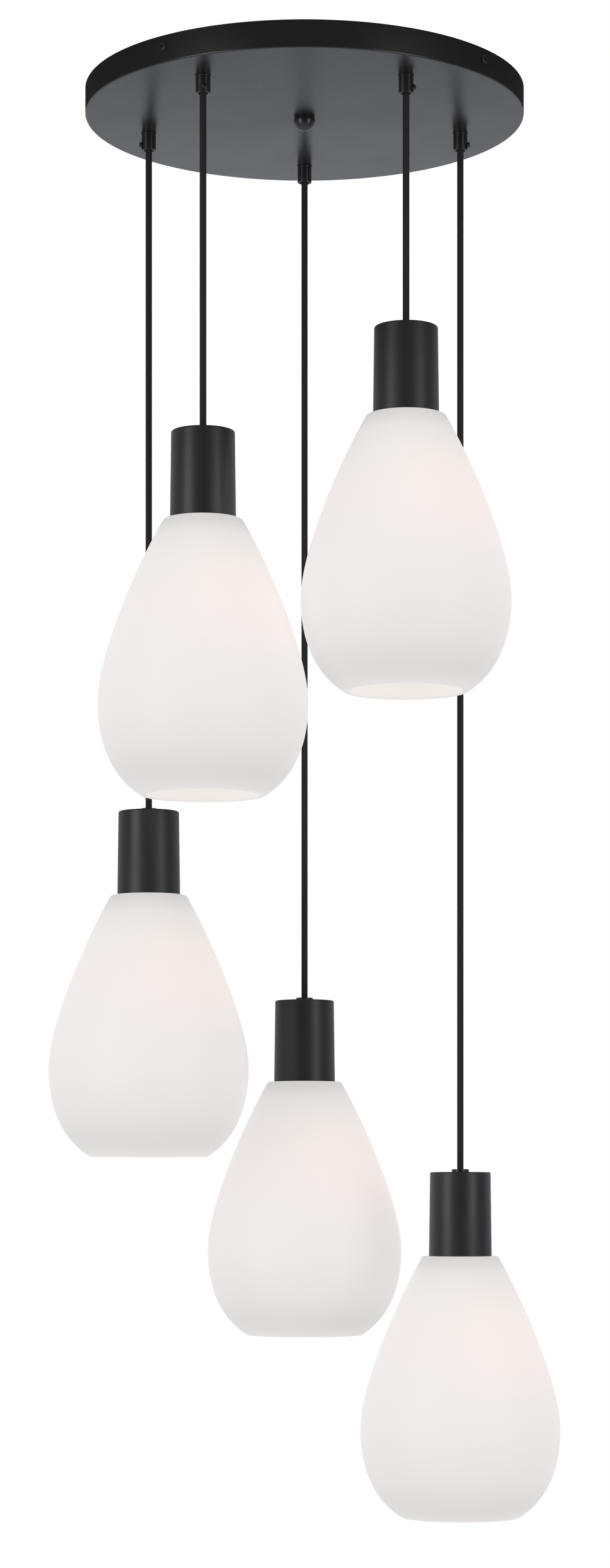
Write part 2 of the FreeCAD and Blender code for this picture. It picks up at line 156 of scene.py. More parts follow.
def new_finish(name, **scalars):
    """A material with one Principled shader, and its plain numbers set on the shader's sockets."""
    finish = bpy.data.materials.new(name)
    finish.use_nodes = True
    shader = finish.node_tree.nodes["Principled BSDF"]
    for socket, value in scalars.items():
        shader.inputs[socket.replace("_", " ")].default_value = value
    return finish, finish.node_tree, shader


def flat_piece(name, bm, height, finish):
    """A level piece of the studio, at a height."""
    bmesh.ops.translate(bm, vec=(0, 0, height), verts=bm.verts)
    mesh = bpy.data.meshes.new(name)
    bm.to_mesh(mesh)
    bm.free()
    mesh.materials.append(finish)
    piece = bpy.data.objects.new(name, mesh)
    bpy.context.scene.collection.objects.link(piece)
    return piece


bm = bmesh.new()
for radius in (card_inner, card_outer):
    bmesh.ops.create_circle(bm, segments=96, radius=radius)
bmesh.ops.bridge_loops(bm, edges=bm.edges)
card_black = new_finish("card_black", Base_Color=card_colour, Roughness=0.9)[0]
card = flat_piece("ceiling_card", bm, card_height, card_black)
card.visible_camera = card.visible_diffuse = False
card.visible_transmission = card.visible_shadow = False

# The floor is pale and fades out into the white room. From below it isn't there.
floor_height = -2.4
floor_radius = 3.2
floor_fade = 1.1
floor_colour = (0.93, 0.93, 0.93, 1)

pale_floor = bpy.data.materials.new("pale_floor")
pale_floor.use_nodes = True
tree = pale_floor.node_tree
tree.nodes.clear()
place = tree.nodes.new("ShaderNodeTexCoord").outputs["Object"]
flat = wire(tree, "ShaderNodeVectorMath", "MULTIPLY", i0=place, i1=(1, 1, 0))
away = wire(tree, "ShaderNodeVectorMath", "LENGTH", i0=flat.outputs[0])
fade = wire(tree, "ShaderNodeMapRange", i0=away.outputs["Value"],
            i1=floor_fade, i2=floor_radius, i3=0.0, i4=1.0)
back = tree.nodes.new("ShaderNodeNewGeometry").outputs["Backfacing"]
below = wire(tree, "ShaderNodeMath", "MAXIMUM", i0=fade.outputs[0], i1=back)
paint = wire(tree, "ShaderNodeBsdfDiffuse", Color=floor_colour)
clear = tree.nodes.new("ShaderNodeBsdfTransparent")
mixed = wire(tree, "ShaderNodeMixShader",
             i0=below.outputs[0], i1=paint.outputs[0], i2=clear.outputs[0])
wire(tree, "ShaderNodeOutputMaterial", Surface=mixed.outputs[0])

bm = bmesh.new()
bmesh.ops.create_circle(bm, cap_ends=True, segments=96, radius=floor_radius)
floor = flat_piece("floor", bm, floor_height, pale_floor)

# ---- Canopy --------------------------------------------------------------------------------
# The canopy is one shallow pan, pressed from 1.2 mm steel sheet and powder-coated satin black.
# It is held to the ceiling bracket by four screws in its rim.
canopy_wall = 0.0012
canopy_edge = 0.0014
canopy_lip_edge = 0.0003
canopy_roughness = 0.27
canopy_peel = 0.35
powder_black = (0.0087, 0.0084, 0.0092)
powder_tones = (0.75, 1.3)
powder_grain = 2600
powder_gloss_range = 0.03
crease = math.radians(35)


def rounded(*corners, steps=7):
    """A closed outline from corners (radius, height, fillet), with the fillets as arcs."""
    outline = []
    for k, (radius, height, fillet) in enumerate(corners):
        corner = Vector((radius, height))
        if not fillet:
            outline.append(corner)
            continue
        before = (Vector(corners[k - 1][:2]) - corner).normalized()
        after = (Vector(corners[(k + 1) % len(corners)][:2]) - corner).normalized()
        half = before.angle(after) / 2
        start = corner + before * (fillet / math.tan(half))
        centre = corner + (before + after).normalized() * (fillet / math.sin(half))
        sweep = (math.pi - 2 * half) * (1 if before.cross(after) < 0 else -1)
        for step in range(steps + 1):
            outline.append(centre + Matrix.Rotation(sweep * step / steps, 2) @ (start - centre))
    return outline


def shares(outline):
    """How far along a closed outline each of its points lies, from 0 to 1 back at the first."""
    along = [0.0]
    for point, following in zip(outline, outline[1:] + outline[:1]):
        along.append(along[-1] + (Vector(following) - Vector(point)).length)
    return [metres / along[-1] for metres in along]


def turned(name, outline, segments=128):
    """A closed mesh, turned about Z from a closed outline, with a UV of turns and shares."""
    bm = bmesh.new()
    uv = bm.loops.layers.uv.new("turns_and_shares")
    along = shares(outline)
    rings = []
    for radius, height in outline:
        if radius < 1e-6:
            rings.append([bm.verts.new((0, 0, height))] * segments)
        else:
            rings.append([bm.verts.new((radius * math.cos(math.tau * k / segments),
                                        radius * math.sin(math.tau * k / segments), height))
                          for k in range(segments)])
    for row, (ring, following) in enumerate(zip(rings, rings[1:] + rings[:1])):
        for k in range(segments):
            after = (k + 1) % segments
            corners = [ring[k], following[k], following[after], ring[after]]
            turns = [k, k, k + 1, k + 1]
            rows = [row, row + 1, row + 1, row]
            kept = [j for j in range(4) if corners[j] not in corners[:j]]
            if len(kept) < 3:
                continue
            face = bm.faces.new([corners[j] for j in kept])
            for loop, j in zip(face.loops, kept):
                loop[uv].uv = (turns[j] / segments, along[rows[j]])
    bmesh.ops.recalc_face_normals(bm, faces=bm.faces)
    mesh = bpy.data.meshes.new(name)
    bm.to_mesh(mesh)
    bm.free()
    mesh.shade_smooth()
    mesh.set_sharp_from_angle(angle=crease)
    return mesh


def shown(name, mesh, place, material, body, slot, *nodes):
    """Puts a mesh at a place as a piece of a body, in place of its CAD nodes."""
    mesh = mesh.copy()
    mesh.name = name
    mesh.transform(Matrix.Translation(place))
    mesh.materials.clear()
    mesh.materials.append(material)
    piece = bpy.data.objects.new(name, mesh)
    bpy.context.scene.collection.objects.link(piece)
    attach(piece, body)
    if nodes:
        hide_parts(*nodes)
    return piece


def noise(tree, **settings):
    """Noise that is fixed to the piece."""
    place = tree.nodes.new("ShaderNodeTexCoord").outputs["Object"]
    return wire(tree, "ShaderNodeTexNoise", Vector=place, **settings).outputs["Fac"]


def emboss(tree, shader, height, strength, depth):
    """Relief on a finish, from a height of 0 to 1."""
    bump = wire(tree, "ShaderNodeBump", Strength=strength, Distance=depth, Height=height)
    tree.links.new(bump.outputs[0], shader.inputs["Normal"])


def vary_gloss(tree, shader, pattern, lowest, highest, start=0.0, end=1.0):
    """Roughness that goes from its lowest to its highest as a pattern goes from start to end."""
    gloss = wire(tree, "ShaderNodeMapRange", i0=pattern, i1=start, i2=end, i3=lowest, i4=highest)
    tree.links.new(gloss.outputs[0], shader.inputs["Roughness"])


def tones(colour, factors):
    """A darker and a lighter tone of a colour."""
    return [[part * factor for part in colour] + [1] for factor in factors]


def powder_coat(name, roughness, relief):
    """Satin powder coat: a fine orange-peel grain, with slightly uneven gloss and colour."""
    finish, tree, shader = new_finish(name, IOR=1.5)
    peel = noise(tree, Scale=powder_grain, Detail=2.0, Roughness=0.55)
    drift = noise(tree, Scale=14.0, Detail=3.0, Roughness=0.5)
    shade = colour_mix(tree, peel, *tones(powder_black, powder_tones))
    tree.links.new(shade, shader.inputs["Base Color"])
    vary_gloss(tree, shader, drift, roughness - powder_gloss_range, roughness + powder_gloss_range,
               start=0.3, end=0.7)
    emboss(tree, shader, peel, strength=relief, depth=0.0001)
    return finish


low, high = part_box("canopy")
canopy_radius, canopy_face = high.x, low.z
inner_radius, inner_face = canopy_radius - canopy_wall, canopy_face + canopy_wall
canopy_black = powder_coat("canopy_black", canopy_roughness, canopy_peel)
pan = turned("canopy", rounded((0, canopy_face, 0),
                               (canopy_radius, canopy_face, canopy_edge),
                               (canopy_radius, 0, canopy_lip_edge),
                               (inner_radius, 0, canopy_lip_edge),
                               (inner_radius, inner_face, canopy_edge - canopy_wall),
                               (0, inner_face, 0)), segments=192)
shown("canopy_pan", pan, (0, 0, 0), canopy_black, "ceiling_fixture", "black_canopy", "canopy")

# ---- Rim screws ----------------------------------------------------------------------------
# Four low round-headed screws with a cross recess, of blackened steel, go through the canopy's
# rim into the bent tabs of the ceiling bracket.
rim_screw_count = 4
rim_screw_azimuth = 52
rim_screw_drop = 0.0105
rim_head_radius = 0.004
rim_head_height = 0.0018
rim_head_edge = 0.0011
rim_shank_radius = 0.002
rim_shank_length = 0.008
under_head_edge = 0.0001
shank_tip_edge = 0.0003
cross_width = 0.0009
cross_span = 0.0036
cross_depth = 0.001
screw_colour = (0.02, 0.02, 0.022, 1)
screw_roughness = 0.34
screw_gloss_range = 0.06


def cross_screw(name, head_radius, head_height, head_edge, shank_radius, shank_length):
    """A screw on the Z axis, its head's underside at the origin and a cross cut in its head."""
    mesh = turned(name, rounded((0, head_height, 0),
                                (head_radius, head_height, head_edge),
                                (head_radius, 0, under_head_edge),
                                (shank_radius, 0, 0),
                                (shank_radius, -shank_length, shank_tip_edge),
                                (0, -shank_length, 0)), segments=40)
    screw = bpy.data.objects.new(name, mesh)
    bm = bmesh.new()
    for span, width in ((cross_span, cross_width), (cross_width, cross_span)):
        size = Matrix.Diagonal((span, width, 2 * cross_depth, 1))
        bmesh.ops.create_cube(bm, matrix=Matrix.Translation((0, 0, head_height)) @ size)
    cutter_mesh = bpy.data.meshes.new(name + "_cross")
    bm.to_mesh(cutter_mesh)
    bm.free()
    cutter = bpy.data.objects.new(name + "_cross", cutter_mesh)
    for made in (screw, cutter):
        bpy.context.scene.collection.objects.link(made)
    cut = screw.modifiers.new("cross", "BOOLEAN")
    cut.operation = "DIFFERENCE"
    cut.use_self = True
    cut.object = cutter
    bpy.context.view_layer.update()
    finished = screw.evaluated_get(bpy.context.evaluated_depsgraph_get())
    made = bpy.data.meshes.new_from_object(finished)
    for spare in (screw, cutter):
        bpy.data.objects.remove(spare)
    made.shade_smooth()
    made.set_sharp_from_angle(angle=crease)
    return made


def ring_of(name, part, material, count, radius, azimuth, height, lean):
    """Geometry Nodes: copies of a part round the Z axis, each leant outwards by an angle."""
    settings = (("Count", "NodeSocketInt", count),
                ("Ring Radius", "NodeSocketFloat", radius),
                ("First Azimuth", "NodeSocketFloat", math.radians(azimuth)),
                ("Height", "NodeSocketFloat", height),
                ("Lean", "NodeSocketFloat", math.radians(lean)),
                ("Part", "NodeSocketObject", part),
                ("Finish", "NodeSocketMaterial", material))
    tree = bpy.data.node_groups.new(name, "GeometryNodeTree")
    sockets = [tree.interface.new_socket(label, in_out="INPUT", socket_type=kind).identifier
               for label, kind, value in settings]
    tree.interface.new_socket("Geometry", in_out="OUTPUT", socket_type="NodeSocketGeometry")
    given = tree.nodes.new("NodeGroupInput").outputs
    points = wire(tree, "GeometryNodePoints", Count=given["Count"])
    index = tree.nodes.new("GeometryNodeInputIndex").outputs[0]
    share = wire(tree, "ShaderNodeMath", "DIVIDE", i0=index, i1=given["Count"])
    angle = wire(tree, "ShaderNodeMath", "MULTIPLY_ADD",
                 i0=share.outputs[0], i1=math.tau, i2=given["First Azimuth"])
    across = wire(tree, "ShaderNodeMath", "COSINE", i0=angle.outputs[0])
    along = wire(tree, "ShaderNodeMath", "SINE", i0=angle.outputs[0])
    spot = wire(tree, "ShaderNodeCombineXYZ", X=across.outputs[0], Y=along.outputs[0])
    spread = wire(tree, "ShaderNodeVectorMath", "SCALE",
                  i0=spot.outputs[0], Scale=given["Ring Radius"])
    lift = wire(tree, "ShaderNodeCombineXYZ", Z=given["Height"])
    spot = wire(tree, "ShaderNodeVectorMath", "ADD", i0=spread.outputs[0], i1=lift.outputs[0])
    points = wire(tree, "GeometryNodeSetPosition",
                  Geometry=points.outputs[0], Position=spot.outputs[0])
    turn = wire(tree, "ShaderNodeCombineXYZ", Y=given["Lean"], Z=angle.outputs[0])
    source = wire(tree, "GeometryNodeObjectInfo", Object=given["Part"])
    copies = wire(tree, "GeometryNodeInstanceOnPoints", Points=points.outputs[0],
                  Instance=source.outputs["Geometry"], Rotation=turn.outputs[0])
    real = wire(tree, "GeometryNodeRealizeInstances", Geometry=copies.outputs[0])
    coated = wire(tree, "GeometryNodeSetMaterial",
                  Geometry=real.outputs[0], Material=given["Finish"])
    wire(tree, "NodeGroupOutput", Geometry=coated.outputs[0])
    holder = bpy.data.objects.new(name, bpy.data.meshes.new(name))
    bpy.context.scene.collection.objects.link(holder)
    ring = holder.modifiers.new("ring", "NODES")
    ring.node_group = tree
    for socket, (label, kind, value) in zip(sockets, settings):
        ring[socket] = value
    bpy.context.view_layer.update()
    finished = holder.evaluated_get(bpy.context.evaluated_depsgraph_get())
    made = bpy.data.meshes.new_from_object(finished)
    bpy.data.objects.remove(holder)
    return made


def as_part(name, mesh):
    """A loose object for Geometry Nodes to copy."""
    part = bpy.data.objects.new(name, mesh)
    bpy.context.scene.collection.objects.link(part)
    return part


def blackened_steel(name, colour, roughness):
    """Blackened screws: satin, a little metallic, with faint turning marks."""
    finish, tree, shader = new_finish(name, Base_Color=colour, Metallic=0.35, IOR=1.5)
    marks = noise(tree, Scale=1800.0, Detail=3.0, Roughness=0.6)
    vary_gloss(tree, shader, marks, roughness - screw_gloss_range, roughness + screw_gloss_range,
               start=0.3, end=0.7)
    emboss(tree, shader, marks, strength=0.2, depth=0.00005)
    return finish


screw_black = blackened_steel("screw_black", screw_colour, screw_roughness)
rim_screw = as_part("rim_screw", cross_screw("rim_screw_part", rim_head_radius, rim_head_height,
                                             rim_head_edge, rim_shank_radius, rim_shank_length))
screws = ring_of("rim_screw_ring", rim_screw, screw_black, rim_screw_count, canopy_radius,
                 rim_screw_azimuth, height=-rim_screw_drop, lean=90)
bpy.data.objects.remove(rim_screw)
shown("rim_screw_set", screws, (0, 0, 0), screw_black, "ceiling_fixture", "black_screws",
      "rim_screws")

# ---- Ceiling bracket and what hangs from it ------------------------------------------------
# The bracket is a zinc-plated steel plate on the ceiling box, with four arms bent down at their
# ends. The stud and all the nuts are plated the same. The part's own solids show.
pendants = range(1, 6)
zinc_dark = (0.42, 0.42, 0.41, 1)
zinc_light = (0.62, 0.62, 0.6, 1)


def zinc_plate(name):
    """Bright zinc: cloudy grey metal with faint crystals and scratches."""
    finish, tree, shader = new_finish(name, Metallic=1.0)
    place = tree.nodes.new("ShaderNodeTexCoord").outputs["Object"]
    cloud = noise(tree, Scale=60.0, Detail=5.0, Roughness=0.6)
    crystal = wire(tree, "ShaderNodeTexVoronoi", Vector=place, Scale=420.0)
    tone = wire(tree, "ShaderNodeValToRGB", Fac=cloud)
    for stop, colour in zip(tone.color_ramp.elements, (zinc_dark, zinc_light)):
        stop.color = colour
    tree.links.new(tone.outputs[0], shader.inputs["Base Color"])
    vary_gloss(tree, shader, cloud, lowest=0.28, highest=0.45)
    emboss(tree, shader, crystal.outputs["Distance"], strength=0.12, depth=0.0001)
    return finish


def coat(material, *nodes):
    """Gives the part's own solids a finish."""
    for name in nodes:
        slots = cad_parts[name].data.materials
        slots.clear()
        slots.append(material)


zinc = zinc_plate("zinc_plate")
coat(zinc, "ceiling_bracket", "centre_stud", "stud_nut", "grip_nuts",
     *["cup_nut_%d" % n for n in pendants])

# The terminal block is moulded grey plastic.
block_colour = (0.55, 0.55, 0.53, 1)
block_roughness = 0.45
plastic_gloss_range = 0.05


def moulded_plastic(name, colour, roughness):
    """Moulded plastic: a fine spark-eroded grain and slightly uneven gloss."""
    finish, tree, shader = new_finish(name, Base_Color=colour, IOR=1.48)
    grain = noise(tree, Scale=1500.0, Detail=2.0)
    vary_gloss(tree, shader, grain, roughness - plastic_gloss_range,
               roughness + plastic_gloss_range)
    emboss(tree, shader, grain, strength=0.15, depth=0.0001)
    return finish


coat(moulded_plastic("block_grey", block_colour, block_roughness), "terminal_block")

# ---- Ball nut ------------------------------------------------------------------------------
# A domed cap nut closes the canopy's centre and screws on the stud above it. It is turned from
# steel and coated satin black.
ball_radius = 0.0106
ball_skirt = 0.002
ball_skirt_edge = 0.0003
ball_bore = 0.00305
ball_bore_depth = 0.009
ball_steps = 20
metal_roughness = 0.3
metal_peel = 0.12


def quarter_round(radius, middle, steps):
    """Points on a quarter circle from its widest down to its pole, but for its last."""
    return [Vector((radius * math.cos(math.pi / 2 * k / steps),
                    middle - radius * math.sin(math.pi / 2 * k / steps))) for k in range(steps)]


metal_black = powder_coat("metal_black", metal_roughness, metal_peel)
low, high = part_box("ball_nut")
skirt_end = high.z - ball_skirt
knob = turned("ball_nut", rounded((0, high.z - ball_bore_depth, 0),
                                  (ball_bore, high.z - ball_bore_depth, 0),
                                  (ball_bore, high.z, 0),
                                  (ball_radius, high.z, ball_skirt_edge))
              + quarter_round(ball_radius, skirt_end, ball_steps)
              + [Vector((0, skirt_end - ball_radius))], segments=96)
shown("ball_nut_dome", knob, (0, 0, 0), metal_black, "canopy_ball_nut", "black_metal", "ball_nut")

# ---- Cord grips ----------------------------------------------------------------------------
# Each cord leaves the canopy through a short grip with a thin collar and a flared mouth. It is
# turned from steel and coated like the ball nut. A small cross-head screw in its side clamps the
# cord.
port_radius = 0.164
port_count = 5
first_port_azimuth = 90
grip_radius = 0.00715
grip_edge = 0.0006
grip_collar_radius = 0.0076
grip_collar_height = 0.0012
grip_collar_edge = 0.0003
grip_collar_seat_edge = 0.0002
grip_mouth_radius = 0.0054
grip_mouth_depth = 0.0032
grip_mouth_edge = 0.0003
grip_bore_radius = 0.0035
grip_stem_radius = 0.005
grip_stem_edge = 0.0004
grip_screw_head_radius = 0.0027
grip_screw_head_height = 0.0024
grip_screw_head_edge = 0.0017
grip_screw_radius = 0.0015
grip_screw_tip = 0.0033
grip_screw_gap = 0.0001


def cord_port(n):
    """Where a pendant's cord enters its cup: the middle of the cup's top."""
    low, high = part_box("cup_%d" % n)
    return (low.x + high.x) / 2, (low.y + high.y) / 2, high.z


low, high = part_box("cord_grips")
grip_mouth = low.z
grip_collar_face = canopy_face - grip_collar_height
grip = turned("cord_grip", rounded((grip_bore_radius, grip_mouth + grip_mouth_depth, 0),
                                   (grip_bore_radius, high.z, 0),
                                   (grip_stem_radius, high.z, grip_stem_edge),
                                   (grip_stem_radius, canopy_face, 0),
                                   (grip_collar_radius, canopy_face, grip_collar_seat_edge),
                                   (grip_collar_radius, grip_collar_face, grip_collar_edge),
                                   (grip_radius, grip_collar_face, 0),
                                   (grip_radius, grip_mouth, grip_edge),
                                   (grip_mouth_radius, grip_mouth, grip_mouth_edge)), segments=64)
grip_part = as_part("cord_grip", grip)
grips = ring_of("cord_grip_ring", grip_part, metal_black, port_count, port_radius,
                first_port_azimuth, height=0, lean=0)
bpy.data.objects.remove(grip_part)
shown("cord_grip_set", grips, (0, 0, 0), metal_black, "ceiling_fixture", "black_metal",
      "cord_grips")

for n in pendants:
    low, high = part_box("grip_screw_%d" % n)
    middle = (low + high) / 2
    x, y, cup_top = cord_port(n)
    outwards = Vector((middle.x - x, middle.y - y, 0)).normalized()
    part = cross_screw("grip_screw_part", grip_screw_head_radius, grip_screw_head_height,
                       grip_screw_head_edge, grip_screw_radius, grip_radius - grip_screw_tip)
    part.transform(outwards.to_track_quat("Z", "Y").to_matrix().to_4x4())
    seat = Vector((x, y, middle.z)) + outwards * (grip_radius + grip_screw_gap)
    shown("clamp_screw_%d" % n, part, seat, screw_black, "grip_screw_body_%d" % n, "black_screws",
          "grip_screw_%d" % n)

# ---- Cords ---------------------------------------------------------------------------------
# The cords are round flex in a black braided sleeve. Each hangs straight, under its pendant's
# weight, from the grip's mouth into the stem of the cup's collar.
cord_radius = 0.0032
cord_sides = 24
cord_start = 0.003
cord_steps = 64
cord_crease = math.radians(60)
collar_height = 0.003
stem_length = 0.032
braid_threads = 16
braid_pitch = 0.018
braid_fuzz = 0.35
braid_black = (0.012, 0.012, 0.013)
braid_shade_and_highlight_tones = (0.5, 1.8)
tail_bend = 0.008
tail_steps = 12
tail_inset = 0.0075


def braided_sleeve(name):
    """Woven polyester: two ways of slanting threads, lighter on their crowns and darker between
    them as painted highlight and shade.
    """
    finish, tree, shader = new_finish(name, Roughness=0.7, Specular_IOR_Level=0.22)
    around = wire(tree, "ShaderNodeSeparateXYZ", i0=tree.nodes.new("ShaderNodeUVMap").outputs[0])
    turns = wire(tree, "ShaderNodeMath", "MULTIPLY",
                 i0=around.outputs["X"], i1=float(braid_threads))
    rise = wire(tree, "ShaderNodeMath", "MULTIPLY",
                i0=around.outputs["Y"], i1=braid_threads / braid_pitch)
    threads = []
    for way in ("ADD", "SUBTRACT"):
        slant = wire(tree, "ShaderNodeMath", way, i0=turns.outputs[0], i1=rise.outputs[0])
        swing = wire(tree, "ShaderNodeMath", "MULTIPLY", i0=slant.outputs[0], i1=math.tau)
        wave = wire(tree, "ShaderNodeMath", "COSINE", i0=swing.outputs[0])
        threads.append(wave.outputs[0])
    weave = wire(tree, "ShaderNodeMath", "MULTIPLY", i0=threads[0], i1=threads[1])
    height = wire(tree, "ShaderNodeMapRange", i0=weave.outputs[0], i1=-1.0, i2=1.0)
    rough = wire(tree, "ShaderNodeMath", "MULTIPLY_ADD",
                 i0=noise(tree, Scale=2400.0, Detail=2.0), i1=braid_fuzz, i2=height.outputs[0])
    # The tone follows the weave's relief: painted highlight on the threads, painted shade between
    # them.
    tone = colour_mix(tree, height.outputs[0], *tones(braid_black, braid_shade_and_highlight_tones))
    tree.links.new(tone, shader.inputs["Base Color"])
    emboss(tree, shader, rough.outputs[0], strength=0.5, depth=0.0003)
    return finish


def cord_line(name, route):
    """The points of a smooth line through a cord's route, read from its NURBS spline."""
    curve = bpy.data.curves.new(name, "CURVE")
    curve.dimensions = "3D"
    spline = curve.splines.new("NURBS")
    spline.points.add(len(route) - 1)
    for point, place in zip(spline.points, route):
        point.co = (*place, 1)
    spline.order_u = 3
    spline.use_endpoint_u = True
    spline.resolution_u = cord_steps
    line = bpy.data.objects.new(name, curve)
    bpy.context.scene.collection.objects.link(line)
    bpy.context.view_layer.update()
    finished = line.evaluated_get(bpy.context.evaluated_depsgraph_get())
    points = [vertex.co.copy() for vertex in bpy.data.meshes.new_from_object(finished).vertices]
    bpy.data.objects.remove(line)
    return points


def cord_tube(name, points):
    """A closed tube along points, with a UV of turns and metres along it."""
    bm = bmesh.new()
    uv = bm.loops.layers.uv.new("turns_and_metres")
    rings, run, metres = [], 0.0, []
    side = Vector((1, 0, 0))
    for k, point in enumerate(points):
        ahead = (points[min(k + 1, len(points) - 1)] - points[max(k - 1, 0)]).normalized()
        side = (side - ahead * side.dot(ahead)).normalized()
        other = ahead.cross(side)
        rings.append([bm.verts.new(point + (side * math.cos(math.tau * j / cord_sides)
                                            + other * math.sin(math.tau * j / cord_sides))
                                   * cord_radius)
                      for j in range(cord_sides)])
        run += (point - points[max(k - 1, 0)]).length
        metres.append(run)
    for k in range(len(rings) - 1):
        for j in range(cord_sides):
            after = (j + 1) % cord_sides
            face = bm.faces.new([rings[k][j], rings[k][after], rings[k + 1][after],
                                 rings[k + 1][j]])
            for loop, turn, metre in zip(face.loops, (j, j + 1, j + 1, j), (k, k, k + 1, k + 1)):
                loop[uv].uv = (turn / cord_sides, metres[metre])
    for ring in (rings[0], rings[-1]):
        bm.faces.new(ring)
    bmesh.ops.recalc_face_normals(bm, faces=bm.faces)
    mesh = bpy.data.meshes.new(name)
    bm.to_mesh(mesh)
    bm.free()
    mesh.shade_smooth()
    mesh.set_sharp_from_angle(angle=cord_crease)
    return mesh


# Inside the canopy each cord's tail bends over and runs level into the side of the terminal block.
braid = braided_sleeve("braided_sleeve")
low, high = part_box("terminal_block")
block_middle, block_reach = (low.y + high.y) / 2, (high.x - low.x) / 2
tail_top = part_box("cord_tails")[1].z - cord_radius
for n in pendants:
    x, y, cup_top = cord_port(n)
    along = max(-1, min(1, x / port_radius)) * block_reach
    along = max(tail_inset - block_reach, min(block_reach - tail_inset, along))
    heading = (Vector((along, block_middle)) - Vector((x, y))).normalized()
    route = [Vector((x, y, grip_mouth + cord_start))]
    for k in range(tail_steps + 1):
        lean = math.pi / 2 * k / tail_steps
        out = heading * (tail_bend * (1 - math.cos(lean)))
        route.append(Vector((x + out.x, y + out.y, tail_top - tail_bend * (1 - math.sin(lean)))))
    route.append(Vector((along, block_middle, tail_top)))
    tail = bpy.data.objects.new("cord_tail_%d" % n, cord_tube("cord_tail_%d" % n, route))
    tail.data.materials.append(braid)
    bpy.context.scene.collection.objects.link(tail)
    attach(tail, "ceiling_fixture")
    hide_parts("cord_tails")

# Under the canopy each cord hangs straight from just inside its grip's mouth.
for n in pendants:
    x, y, cup_top = cord_port(n)
    top, bottom = grip_mouth + cord_start, cup_top - stem_length
    points = cord_line("cord_line_%d" % n,
                       [(x, y, top), (x, y, (top + bottom) / 2), (x, y, bottom)])
    tube = cord_tube("braided_cord_%d" % n, points)
    tube.materials.append(braid)
    cord = bpy.data.objects.new("braided_cord_%d" % n, tube)
    bpy.context.scene.collection.objects.link(cord)
    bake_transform(cord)
    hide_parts("cord_%d" % n)

# ---- Collars and cups ----------------------------------------------------------------------
# The collar is a turned bush, and its threaded stem carries the cup and the lampholder. The cup
# is spun steel, a little wider at its mouth, powder-coated black like the canopy.
collar_radius = 0.0087
collar_edge = 0.0008
collar_seat_edge = 0.0001
bore_edge = 0.0004
stem_radius = 0.005
cup_wall = 0.0015
cup_edge = 0.0015
cup_lip_edge = 0.0004
cup_taper = 0.0011
cup_roughness = 0.43
cup_peel = 0.25

low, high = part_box("cup_1")
cup_height = high.z - low.z
cup_mouth_radius = (high.x - low.x) / 2
cup_top_radius = cup_mouth_radius - cup_taper
collar = turned("collar", rounded((grip_bore_radius, collar_height, bore_edge),
                                  (grip_bore_radius, -stem_length, 0),
                                  (stem_radius, -stem_length, bore_edge),
                                  (stem_radius, 0, 0),
                                  (collar_radius, 0, collar_seat_edge),
                                  (collar_radius, collar_height, collar_edge)), segments=64)
cup = turned("cup", rounded((stem_radius, 0, 0),
                            (cup_top_radius, 0, cup_edge),
                            (cup_mouth_radius, -cup_height, cup_lip_edge),
                            (cup_mouth_radius - cup_wall, -cup_height, cup_lip_edge),
                            (cup_top_radius - cup_wall, -cup_wall, cup_lip_edge),
                            (stem_radius, -cup_wall, 0)), segments=128)
cup_black = powder_coat("cup_black", cup_roughness, cup_peel)
for n in pendants:
    body = "pendant_%d" % n
    shown("cord_collar_%d" % n, collar, cord_port(n), metal_black, body, "black_metal",
          "collar_%d" % n)
    shown("black_cup_%d" % n, cup, cord_port(n), cup_black, body, "black_cup", "cup_%d" % n)

# ---- Lampholders and rings -----------------------------------------------------------------
# The lampholder is moulded plastic, screwed on the collar's stem inside the cup. Its skirt goes
# through the glass, and the ring below clamps it. The part's own solids show.
holder_colour = (0.72, 0.72, 0.7, 1)
holder_roughness = 0.4

holder_white = moulded_plastic("holder_white", holder_colour, holder_roughness)
for n in pendants:
    coat(holder_white, "lampholder_%d" % n, "shade_ring_%d" % n)

# ---- Shades --------------------------------------------------------------------------------
# Each shade is mouth-blown opal glass, 3 mm thick: a teardrop with a flat shoulder, widest well
# below the middle, and open at the bottom with a ground lip.
glass_wall = 0.003
shoulder_radius = 0.0376
shoulder_edge = 0.0026
shoulder_join = 0.001
shoulder_aim = 6
flank_angle = math.radians(31)
flank_reach = 0.034
belly_radius = 0.1
belly_drop = 0.174
belly_reach_up = 0.05
belly_reach_down = 0.047
shade_height = 0.2615
mouth_radius = 0.059
mouth_angle = math.radians(58)
mouth_reach = 0.026
fitter_radius = 0.0185
fitter_edge = 0.0004
curve_steps = 36
# The glass's own white is kept dim; the painted glow below gives most of its brightness.
milk_white = (0.17, 0.17, 0.17, 1)
milk_drift = 0.015

# Painted glow in the glass's emission, for the bulb's light through it, by height from top (1) to
# lip (0).
# It is dimmer under the cup and at the lip as painted shade, and has a painted warm spot.
painted_glow_by_height = [(1.0, (0.42, 0.41, 0.41)), (0.97, (0.495, 0.475, 0.475)),
                  (0.92, (0.64, 0.61, 0.6)), (0.8, (0.685, 0.645, 0.62)),
                  (0.6, (0.69, 0.645, 0.635)), (0.36, (0.655, 0.63, 0.62)),
                  (0.13, (0.615, 0.58, 0.575)), (0.03, (0.465, 0.455, 0.46))]
painted_glow_inside = (0.735, 0.69, 0.665)
lip_fade = 0.035
warm_side = 0.91
warm_edge = 0.1
warm_height = 0.68
warm_reach = 0.13
painted_warm_spot = (0.05, 0.014, 0.0, 1)


def bezier(a, b, c, d, steps):
    """Points on a cubic curve, but for its last."""
    return [a * (1 - t) ** 3 + b * 3 * t * (1 - t) ** 2 + c * 3 * t * t * (1 - t) + d * t ** 3
            for t in (k / steps for k in range(steps))]


